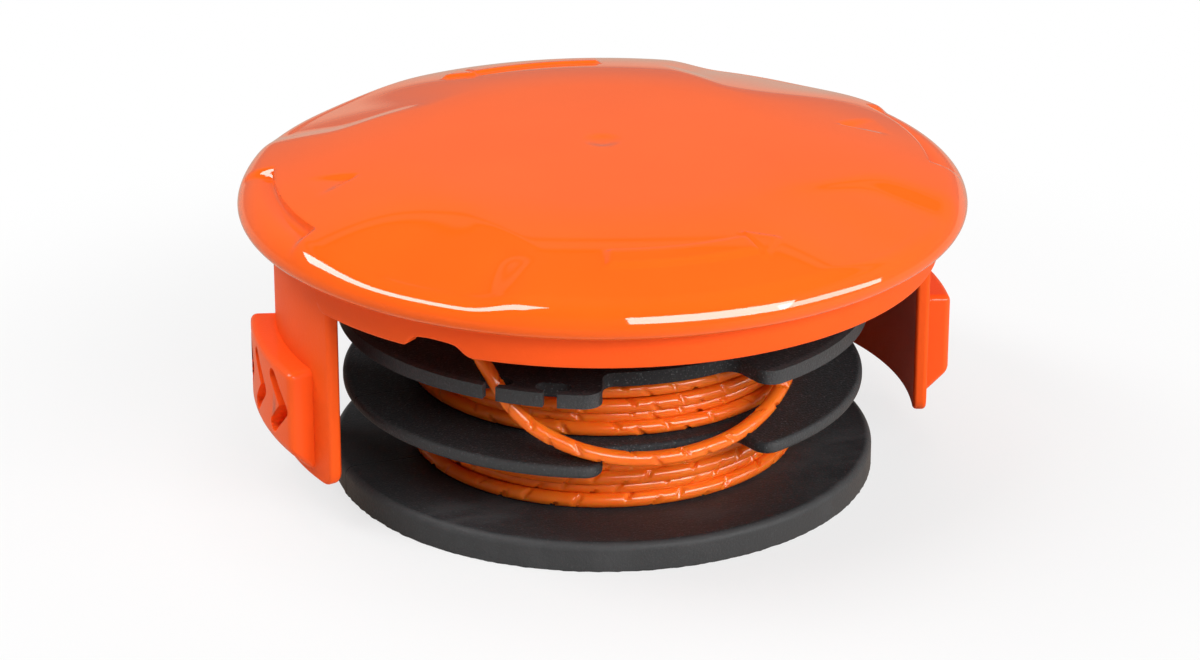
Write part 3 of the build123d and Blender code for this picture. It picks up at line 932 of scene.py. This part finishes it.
def press_cap(piece):
    """Move the spun grid's vertices to the pressed forms."""
    mesh = piece.data
    co = np.empty(len(mesh.vertices) * 3)
    mesh.vertices.foreach_get("co", co)
    x, y, z = co.reshape(-1, 3).T / MM
    r = np.maximum(np.hypot(x, y), AXIS)
    degrees = np.degrees(np.arctan2(y, x))
    arm_off = np.minimum(np.abs(angle_from(degrees, 0)), np.abs(angle_from(degrees, 180)))
    dome = (r < DOME_EDGE[0] - HAIR) & (z > dome_z(np.minimum(r, CAP_RADIUS)) - PLATE / 4)
    rim = (r >= DOME_EDGE[0] - HAIR) & (z >= RIM_Z - HAIR)
    top = dome | rim
    skirt = (z < SKIRT_TOP + 0.05) & (r > SKIRT_INNER - 0.1) & (r < SKIRT_RADIUS + 0.1)

    fade = np.where(rim, np.clip((z - RIM_Z) / (DOME_EDGE[1] - RIM_Z), 0, 1), 1.0) ** RIM_FADE
    drop = scoop_drop(r, degrees) * fade
    drop += np.where(dome, dent_drop(r, degrees) - arrow_rise(r, degrees), 0)
    drop += DIMPLE_DEPTH * (1 - step_between(DIMPLE_FLAT, DIMPLE_RADIUS, r))
    lip = np.where((r > LIP_START) & (r <= REBATE_INNER + HAIR), (r - LIP_START) * LIP_SLOPE, 0)
    drop += lip * (1 - step_between(*LIP_ENDS, arm_off))
    new_z = np.where(top, z - drop, z)

    form_r, form_z, run_out = rebate_form(r, z, rim)
    rebate = np.where(top & ~run_out & (r > REBATE_INNER + HAIR), rebate_share(r, arm_off), 0)
    new_z += rebate * (form_z - new_z)
    new_r = r + rebate * (form_r - r)
    new_z += np.where(skirt, skirt_lift(z, degrees, arm_off), 0)

    moved = np.stack([x * new_r / r, y * new_r / r, new_z], 1) * MM
    mesh.vertices.foreach_set("co", moved.ravel())
    mesh.update()


press_cap(cap)
print("cap pressed, highest point", round(max(v.co.z for v in cap.data.vertices) / MM, 2), "mm")

# %% [markdown]
# ## The latch arms
# Each arm is a curved tongue with a thick grip tab on its outside, and three chevrons cut
# into the tab. Curved work is awkward to cut, so the arm is made flat like a paper pattern:
# a plate, a tab, chevron cuts and rounded edges. It is then sliced into narrow strips and
# rolled onto the cap's circle.

# %% Make one arm flat
ARM_RADIUS = 38.4
ARM_THICKNESS = 1.6
ARM_HALF = 19.6
ARM_BOTTOM = 6.0
ARM_TOP = 34.4
ARM_CORNER = 2.0
ARM_EDGE = 0.5
TAB_PROUD = 2.9
TAB_ROOT = 0.8
TAB_HALF = 14.0
TAB_BOTTOM = 7.2
TAB_TOP = 19.5
TAB_LEAD_IN = 2.6
TAB_EDGE = 0.8
CHEVRON_PITCH = 6.3
CHEVRON_LIMB = 4.2
CHEVRON_WIDTH = 1.8
CHEVRON_DEPTH = 2.3
CHEVRON_ROUND = 0.49
CHEVRON_EDGE = 0.24
CHEVRON_LEAN = math.radians(45)
STRIP = 0.75


def half_span(half_angle):
    """Flat half width that rolls into an angle."""
    return math.radians(half_angle) * ARM_RADIUS


def bevel_picked(offset, segments):
    """Bevel the edges that are picked in edit mode, then go back to object mode."""
    bpy.ops.mesh.bevel(offset=offset * MM, segments=segments, affect="EDGES")
    stop_editing()


def flat_tongue():
    """The tongue in the flat: X across, Y outwards from its outside face, Z up."""
    tongue = block(
        (2 * half_span(ARM_HALF), ARM_THICKNESS, ARM_TOP - ARM_BOTTOM),
        (0, -ARM_THICKNESS / 2, (ARM_TOP + ARM_BOTTOM) / 2),
    )
    tongue.name = "latch_arm"
    foot = (ARM_BOTTOM + 1) * MM
    pick(tongue, "EDGE", lambda a, b: max(a.z, b.z) < foot and abs(a.x - b.x) < HAIR * MM)
    bevel_picked(ARM_CORNER, 8)
    round_edges(tongue, ARM_EDGE, 4, 60)
    return tongue


def chevron_limb(way, across, height):
    """Cutter for one limb of a chevron, leaning one way or the other."""
    limb = block((CHEVRON_LIMB + CHEVRON_WIDTH, 2 * CHEVRON_DEPTH, CHEVRON_WIDTH), (0, TAB_PROUD, 0))
    pick(limb, "EDGE", lambda a, b: abs(a.y - b.y) > CHEVRON_DEPTH * MM)
    bevel_picked(CHEVRON_ROUND * CHEVRON_WIDTH, 5)
    edit_all(limb)
    rotate_about_axis(way * CHEVRON_LEAN, "Y")
    bpy.ops.transform.translate(value=(across * MM, 0, height * MM))
    stop_editing()
    return limb


def flat_tab():
    """The grip tab in the flat, with a slanted foot, soft edges and three chevrons cut into it."""
    tab = block(
        (2 * half_span(TAB_HALF), TAB_PROUD + TAB_ROOT, TAB_TOP - TAB_BOTTOM),
        (0, (TAB_PROUD - TAB_ROOT) / 2, (TAB_TOP + TAB_BOTTOM) / 2),
    )
    half_way = (TAB_TOP + TAB_BOTTOM) / 2 * MM
    pick(tab, "EDGE", lambda a, b: min(a.y, b.y) > 0 and max(a.z, b.z) < half_way)
    bevel_picked(TAB_LEAD_IN, 1)
    top = (TAB_TOP - HAIR) * MM
    pick(tab, "EDGE", lambda a, b: min(a.y, b.y) > 0 or (max(a.y, b.y) > 0 and a.z > top))
    bevel_picked(TAB_EDGE, 5)
    middle = (TAB_BOTTOM + TAB_LEAD_IN + TAB_TOP) / 2
    reach = CHEVRON_LIMB / 2 * math.sin(CHEVRON_LEAN)
    for across in (-CHEVRON_PITCH, 0.0, CHEVRON_PITCH):
        for way in (1, -1):
            combine(tab, chevron_limb(way, across, middle + way * reach), "DIFFERENCE")
    round_edges(tab, CHEVRON_EDGE, 3, 50)
    return tab


def roll_up(arm):
    """Slice the flat arm into narrow strips and roll it about the hub's axis, standing on +X."""
    edit_all(arm)
    half = half_span(ARM_HALF)
    for x in spaced(-half + STRIP, half, STRIP):
        bpy.ops.mesh.select_all(action="SELECT")
        bpy.ops.mesh.bisect(plane_co=(x * MM, 0, 0), plane_no=(1, 0, 0))
    stop_editing()
    for vertex in arm.data.vertices:
        angle = vertex.co.x / (ARM_RADIUS * MM)
        radius = ARM_RADIUS * MM + vertex.co.y
        vertex.co.x = radius * math.cos(angle)
        vertex.co.y = radius * math.sin(angle)
    edit_all(arm)
    face_outwards()


latch_arm = flat_tongue()
combine(latch_arm, flat_tab(), "UNION")
roll_up(latch_arm)
report(latch_arm)

# %% [markdown]
# The skirt stops short of the arms, so a curved block is cut out of it at each side before
# the two arms are joined to the cap.

# %% Cut the skirt at the arms and join them
GAP_PAST = 1.4
GAP_WITHIN = 1.5
GAP_DEPTH = 12.2
GAP_SPARE = 0.02


def skirt_cutter():
    """Ring sector that takes the skirt away over one arm, on +X."""
    middle = RIM_FOOT[1] - GAP_SPARE - GAP_DEPTH / 2
    cutter = round_bar(SKIRT_RADIUS + GAP_PAST, middle, GAP_DEPTH, sides=512)
    for side in (1, -1):
        edit_all(cutter)
        normal = (-math.sin(math.radians(GAP_HALF)), side * math.cos(math.radians(GAP_HALF)), 0)
        bpy.ops.mesh.bisect(plane_co=(0, 0, 0), plane_no=normal, use_fill=True, clear_outer=True)
    stop_editing()
    combine(cutter, round_bar(SKIRT_INNER - GAP_WITHIN, middle, 2 * GAP_DEPTH, sides=256), "DIFFERENCE")
    return cutter


for turn in (0.0, math.pi):
    gap = skirt_cutter()
    edit_all(gap)
    rotate_about_axis(turn)
    combine(cap, gap, "DIFFERENCE")
    combine(cap, copy_of(latch_arm, turn), "UNION")
bpy.data.objects.remove(latch_arm)
smooth_shade(cap, 32, weighted=True)
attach(cap, "root")
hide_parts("cap")
report(cap)

# %% [markdown]
# ## Finishes
# Shader maths reads best as plain arithmetic. A small class wraps a node's output so that
# `1 - mask * 0.4` adds the Math nodes by itself, and one method makes every other node.

# %% A wrapper for shader maths


class Wire:
    """One node output; arithmetic on it adds Math nodes."""

    def __init__(self, finish, socket):
        self.finish = finish
        self.socket = socket

    def math(self, operation, *values):
        return self.finish.node("ShaderNodeMath", {"operation": operation}, dict(enumerate(values)))

    def __add__(self, other):
        return self.math("ADD", self, other)

    def __mul__(self, other):
        return self.math("MULTIPLY", self, other)

    def __sub__(self, other):
        return self.math("SUBTRACT", self, other)

    def __rsub__(self, other):
        return self.math("SUBTRACT", other, self)

    __radd__ = __add__
    __rmul__ = __mul__


# %% A tree of nodes, built one by one


class Finish:
    """The nodes of a material or a world, around its one shader."""

    def __init__(self, owner, shader="Principled BSDF"):
        owner.use_nodes = True
        self.owner = owner
        self.tree = owner.node_tree
        self.shader = self.tree.nodes[shader]

    def node(self, kind, settings=None, inputs=None, output=0):
        """Add a node: its settings first, then the values or links of its sockets."""
        made = self.tree.nodes.new(kind)
        for name, value in (settings or {}).items():
            if name == "stops":
                self.set_stops(made.color_ramp.elements, value)
            else:
                setattr(made, name, value)
        for name, value in (inputs or {}).items():
            self.feed(made.inputs[name], value)
        return Wire(self, made.outputs[output])

    def set_stops(self, elements, stops):
        """Give a colour ramp its stops, each a place and a colour."""
        while len(elements) < len(stops):
            elements.new(0.5)
        for element, (place, colour) in zip(elements, stops):
            element.position = place
            element.color = colour

    def feed(self, socket, value):
        """Link a wire to a socket, or set the socket's value."""
        if isinstance(value, Wire):
            self.tree.links.new(value.socket, socket)
        else:
            socket.default_value = value

    def shade(self, **inputs):
        """Feed the Principled shader; underscores stand for spaces."""
        for name, value in inputs.items():
            self.feed(self.shader.inputs[name.replace("_", " ")], value)

    def place(self):
        """The point on the piece, in metres."""
        return self.node("ShaderNodeTexCoord", output="Object")

    def along(self, place):
        """The three parts of a point."""
        parts = self.node("ShaderNodeSeparateXYZ", inputs={"Vector": place}).socket.node.outputs
        return [Wire(self, part) for part in parts]

    def noise(self, place, scale, detail, roughness=0.55):
        """Grey noise of a size given as its scale per metre."""
        inputs = {"Vector": place, "Scale": scale, "Detail": detail, "Roughness": roughness}
        return self.node("ShaderNodeTexNoise", inputs=inputs)

    def ramp(self, value, low, high, start=0.0, end=1.0):
        """Map a value from one range to another, held at the ends."""
        inputs = {"Value": value, "From Min": low, "From Max": high, "To Min": start, "To Max": end}
        return self.node("ShaderNodeMapRange", {"interpolation_type": "SMOOTHSTEP"}, inputs)

    def above(self, height, start, end):
        """Mask that rises from 0 to 1 between two heights in mm."""
        return self.ramp(height, start * MM, end * MM)

    def beyond(self, spread, start, end):
        """Mask that rises between two radii in mm, from the squared distance to the axis."""
        return self.ramp(spread, (start * MM) ** 2, (end * MM) ** 2)

    def blend(self, factor, first, second):
        """Mix two colours."""
        return self.node("ShaderNodeMix", {"data_type": "RGBA"}, {0: factor, 6: first, 7: second}, output=2)

    def bump(self, height, distance, under=None):
        """Normals from a height field, with the height of a full step in metres."""
        inputs = {"Height": height, "Distance": distance, "Strength": 1.0}
        if under:
            inputs["Normal"] = under
        return self.node("ShaderNodeBump", inputs=inputs)

    def white_over(self, share, kind, output):
        """Mix plain white light of strength 1 over the shader, by a share."""
        white = self.node(kind, inputs={"Color": (1, 1, 1, 1), "Strength": 1.0})
        lit = Wire(self, self.shader.outputs[0])
        mixed = self.node("ShaderNodeMixShader", inputs={0: share, 1: lit, 2: white})
        self.feed(self.tree.nodes[output].inputs["Surface"], mixed)


def paint(piece, finish):
    """Give a piece one finish all over."""
    piece.data.materials.clear()
    piece.data.materials.append(finish.owner)
    print(piece.name, "is finished in", finish.owner.name, "with", len(finish.tree.nodes), "nodes")


# %% [markdown]
# ## Orange cap plastic
# The dome and rim are polished; the skirt and arms come from a lightly sparked mould and are
# satin, apart from the grip tabs, which are rubbed glossier. Two materials would need a seam,
# so one material tells the places apart by height and by distance from the axis. The polish
# is a clear coat with a high index, which mirrors the lamps and leaves the colour deep. The
# inside of the cap is rough, and its darker orange is painted shade.

# %% Mix the cap's finish
SATIN_ORANGES = (0.93, 0.094, 0.009, 1), (0.98, 0.112, 0.012, 1)
GLOSS_ORANGES = (0.94, 0.112, 0.006, 1), (0.98, 0.130, 0.009, 1)
# Darker orange painted as shade over the cap's inside and the arms' inner faces.
SHADED_INSIDE_ORANGE = (0.50, 0.040, 0.002, 1)
SATIN_GRAIN = 0.03 * MM
ORANGE_PEEL = 0.006 * MM
DOME_FALL = (APEX - DOME_EDGE[1]) / DOME_EDGE[0] ** 2 / MM


def cap_finish():
    """Polished orange above the rim's foot, satin below it, and rough on the inside, where a darker orange is
    painted shade.
    """
    finish = Finish(bpy.data.materials.new("cap_orange_polished_and_satin"))
    place = finish.place()
    x, y, height = finish.along(place)
    spread = x * x + y * y
    polished = finish.above(height, RIM_FOOT[1] - 0.3, RIM_FOOT[1] + 0.5)
    within = 1 - finish.beyond(spread, SKIRT_INNER - 0.3, SKIRT_INNER + 0.1)
    flattened = height + spread * DOME_FALL
    inside = within * (1 - finish.above(flattened, APEX - 0.7 * PLATE, APEX - 0.45 * PLATE))
    proud = finish.beyond(spread, ARM_RADIUS + 0.1, ARM_RADIUS + 0.6)
    tab = proud * (1 - finish.above(height, TAB_TOP + 0.1, TAB_TOP + 0.9))
    clouds = finish.noise(place, 70, 2)
    grain = finish.noise(place, 3200, 2)
    peel = finish.noise(place, 420, 2)
    satin, gloss = (finish.blend(clouds, *oranges) for oranges in (SATIN_ORANGES, GLOSS_ORANGES))
    # The inside mask lays the painted shade: a darker orange over the cap's inside.
    colour = finish.blend(inside, finish.blend(polished, satin, gloss), SHADED_INSIDE_ORANGE)
    roughness = finish.ramp(inside, 0, 1, 0.44 - polished * 0.38 + (clouds - 0.5) * 0.03, 0.7)
    sparked = finish.bump(grain * (1 - polished), SATIN_GRAIN)
    normal = finish.bump(peel * polished, ORANGE_PEEL, under=sparked)
    coat = polished * 0.9 + tab * 0.3
    finish.shade(Base_Color=colour, Roughness=roughness, Normal=normal, Coat_Weight=coat)
    finish.shade(IOR=1.46, Specular_IOR_Level=0.13, Coat_IOR=1.75, Coat_Roughness=0.035)
    return finish


paint(cap, cap_finish())

# %% [markdown]
# ## Black spool plastic
# The spool is a matt black moulding with a fine spark grain on the flanges. The base's top is
# smoother, with cloudy flow marks. The rims are painted a lighter grey: partly wear, partly a
# painted highlight where the edges catch the light. A thin weld line on either side shows
# where two fronts of the melt met. The weld is a narrow band about a plane through the axis,
# bent a little by noise.

# %% Mix the spool's finish
SPECKLED_BLACKS = (0.024, 0.026, 0.028, 1), (0.13, 0.136, 0.140, 1)
FLOW_GREY = (0.062, 0.063, 0.065, 1)
# Lighter grey for the flange rims: partly wear, partly a painted highlight where the edges catch the light.
RIM_WEAR_AND_HIGHLIGHT_GREY = (0.075, 0.076, 0.077, 1)
WELD_BLACK = (0.006, 0.006, 0.006, 1)
WELD_TURN = math.radians(3.5)
WELD_WANDER = 0.5 * MM
WELD_TOP = MID_Z + MID_THICKNESS
SPOOL_GRAIN = 0.13 * MM


def spool_finish():
    """Grained matt black, with smoother flow marks on the base and two weld lines."""
    finish = Finish(bpy.data.materials.new("spool_black_grained"))
    place = finish.place()
    x, y, height = finish.along(place)
    spread = x * x + y * y
    base = 1 - finish.above(height, BASE_HEIGHT + 0.1, BASE_HEIGHT + 0.7)
    # The rim mask lays the lighter grey along the rims: a painted highlight with some wear.
    rim = finish.beyond(spread, MID_RADIUS - 0.8, MID_RADIUS - 0.1) * (1 - base)
    rim = rim + finish.beyond(spread, BASE_RADIUS - 0.9, BASE_RADIUS - 0.3) * base
    aside = y * math.cos(WELD_TURN) - x * math.sin(WELD_TURN)
    aside = aside + (finish.noise(place, 420, 2) - 0.5) * WELD_WANDER
    thin = 1 - finish.above(aside.math("ABSOLUTE", aside), 0.03, 0.14)
    weld = thin * (1 - finish.above(height, WELD_TOP + 0.1, WELD_TOP + 0.7))
    streaks = finish.node(
        "ShaderNodeMapping", inputs={"Vector": place, "Scale": (1.0, 2.4, 1.0), "Rotation": (0, 0, 0.5)}
    )
    grain = finish.noise(place, 3400, 3)
    waves = finish.noise(streaks, 75, 4, 0.6)
    flow = finish.ramp(waves, 0.48, 0.68) * base
    speckle = finish.ramp(finish.noise(place, 4200, 2), 0.56, 0.74)
    colour = finish.blend(speckle * 0.7 * (1 - base * 0.5), *SPECKLED_BLACKS)
    for mask, shade in ((flow * 0.55, FLOW_GREY), (rim * 0.6, RIM_WEAR_AND_HIGHLIGHT_GREY), (weld, WELD_BLACK)):
        colour = finish.blend(mask, colour, shade)
    roughness = 0.56 - base * 0.06 + flow * 0.12 + (grain - 0.5) * 0.2
    normal = finish.bump(grain * (1 - base * 0.6) - weld * 0.8 + waves * base, SPOOL_GRAIN)
    finish.shade(Base_Color=colour, Roughness=roughness, Normal=normal, Specular_IOR_Level=0.22)
    return finish


paint(spool, spool_finish())

# %% [markdown]
# ## Nylon line
# Nylon line is clear enough to glow: light enters it, turns orange and leaves along the edges.
# Glass would be truer but noisy on so thin a line, so subsurface scattering over a millimetre
# or so gives the glow, and a glossy skin gives the sharp streaks of light along every stretch.

# %% Mix the line's finish
NYLON_ORANGES = (0.95, 0.140, 0.008, 1), (1.0, 0.210, 0.016, 1)


def line_finish():
    """Glowing orange nylon with a glossy skin."""
    finish = Finish(bpy.data.materials.new("nylon_line_orange"))
    place = finish.place()
    colour = finish.blend(finish.noise(place, 160, 2), *NYLON_ORANGES)
    roughness = 0.2 + (finish.noise(place, 900, 2) - 0.5) * 0.12
    finish.shade(Base_Color=colour, Roughness=roughness, IOR=1.53, Specular_IOR_Level=0.62)
    finish.shade(Subsurface_Weight=0.55, Subsurface_Radius=(1.0, 0.35, 0.08), Subsurface_Scale=0.9 * MM)
    return finish


nylon = line_finish()
for piece in line_pieces:
    paint(piece, nylon)

# %% [markdown]
# ## Floor and light
# The photograph is a white studio. The floor is matt and pale, and a touch of its own light for
# the camera keeps it white around the shadow. It stays out of reflections, where the world's
# own lower half stands for it.

# %% Floor
FLOOR_GREY = (0.66, 0.66, 0.66, 1)
SHADOW_REACH = (45, 120)
SHADOW_WHITE = 0.72


def camera_ray(finish):
    """1 where the camera itself looks."""
    return finish.node("ShaderNodeLightPath", output="Is Camera Ray")


def floor_finish():
    """Pale matt floor that keeps its shadow and reads as white to the camera further off."""
    finish = Finish(bpy.data.materials.new("studio_floor"))
    x, y, _ = finish.along(finish.place())
    near, far = ((reach * MM) ** 2 for reach in SHADOW_REACH)
    further = finish.ramp(x * x + y * y, near, far, SHADOW_WHITE, 1.0)
    finish.shade(Base_Color=FLOOR_GREY, Roughness=0.9, Specular_IOR_Level=0.0)
    finish.white_over(camera_ray(finish) * further, "ShaderNodeEmission", "Material Output")
    return finish


let_go()
bpy.ops.mesh.primitive_plane_add(size=6)
floor = bpy.context.object
floor.name = "studio_floor"
paint(floor, floor_finish())
floor.visible_glossy = False


# %% [markdown]
# The streaks on the rim tell where the lamps stood: a long soft box up on the left, a second
# one low in front, which trails off to a dim card on the right. A fill from above lifts the
# dome's colour. It isn't mirrored, because its patch would whiten the gloss.

# %% Soft boxes
AIM = Vector((0, 0, 0.03))


def soft_box(name, place, along, length, width, power):
    """A rectangular area light aimed at the spool, its long side along a direction."""
    let_go()
    bpy.ops.object.light_add(type="AREA", location=place)
    lamp = bpy.context.object
    lamp.name = name
    lamp.data.shape = "RECTANGLE"
    lamp.data.size = length
    lamp.data.size_y = width
    lamp.data.energy = power
    facing = (Vector(place) - AIM).normalized()
    side = Vector(along).cross(facing).cross(facing).normalized()
    lamp.rotation_euler = Matrix((side, facing.cross(side), facing)).transposed().to_euler()
    print(name, "gives", power, "W")
    return lamp


soft_box("left_strip", (-0.52, 0.12, 0.72), (-0.55, 0.83, 0), 1.0, 0.24, 5.8)
soft_box("front_strip", (0.31, -0.95, 0.60), (0.95, 0.31, -0.28), 1.0, 0.42, 11.0)
soft_box("right_card", (0.96, -0.62, 0.38), (0.54, 0.84, -0.25), 0.8, 0.24, 4.0)
top_fill = soft_box("top_fill", (0.0, 0.12, 1.10), (1, 0, 0), 0.7, 0.7, 5.0)
top_fill.visible_glossy = False

# %% [markdown]
# The dome mirrors a pale wall, and where its shoulder turns up to the darker room above, the
# reflection ends in a soft line that every scoop bends. A ramp over the height of a direction
# paints that room: the glow of the floor at its foot, the wall, and the dark edges above it.

# %% World
FLOOR_GLOW = (0.56, 0.43, 0.35, 1)
ROOM_GREYS = (
    (0.05, 0.20), (0.61, 0.16), (0.626, 0.02), (0.64, 0.15), (0.662, 0.15), (0.675, 0.0), (0.69, 0.05),
)
BRIGHT_SIDE = (0.80, 0.60, 0.0)
SIDE_LEVELS = (-0.7, 0.4, 0.45, 1.0)


def studio_world():
    """White to the camera; to the object a pale wall, darker on the left, and a darker room above it."""
    room = Finish(bpy.data.worlds.new("studio"), "Background")
    direction = room.node("ShaderNodeTexCoord", output="Generated")
    stops = [(0.0, FLOOR_GLOW), *((place, (grey, grey, grey, 1)) for place, grey in ROOM_GREYS)]
    colour = room.node("ShaderNodeValToRGB", {"stops": stops}, {"Fac": room.along(direction)[2]})
    sideways = room.node(
        "ShaderNodeVectorMath", {"operation": "DOT_PRODUCT"}, {0: direction, 1: BRIGHT_SIDE}, output="Value"
    )
    room.shade(Color=colour, Strength=room.ramp(sideways, *SIDE_LEVELS))
    room.white_over(camera_ray(room), "ShaderNodeBackground", "World Output")
    return room.owner


bpy.context.scene.world = studio_world()
bpy.context.scene.view_settings.view_transform = "Standard"
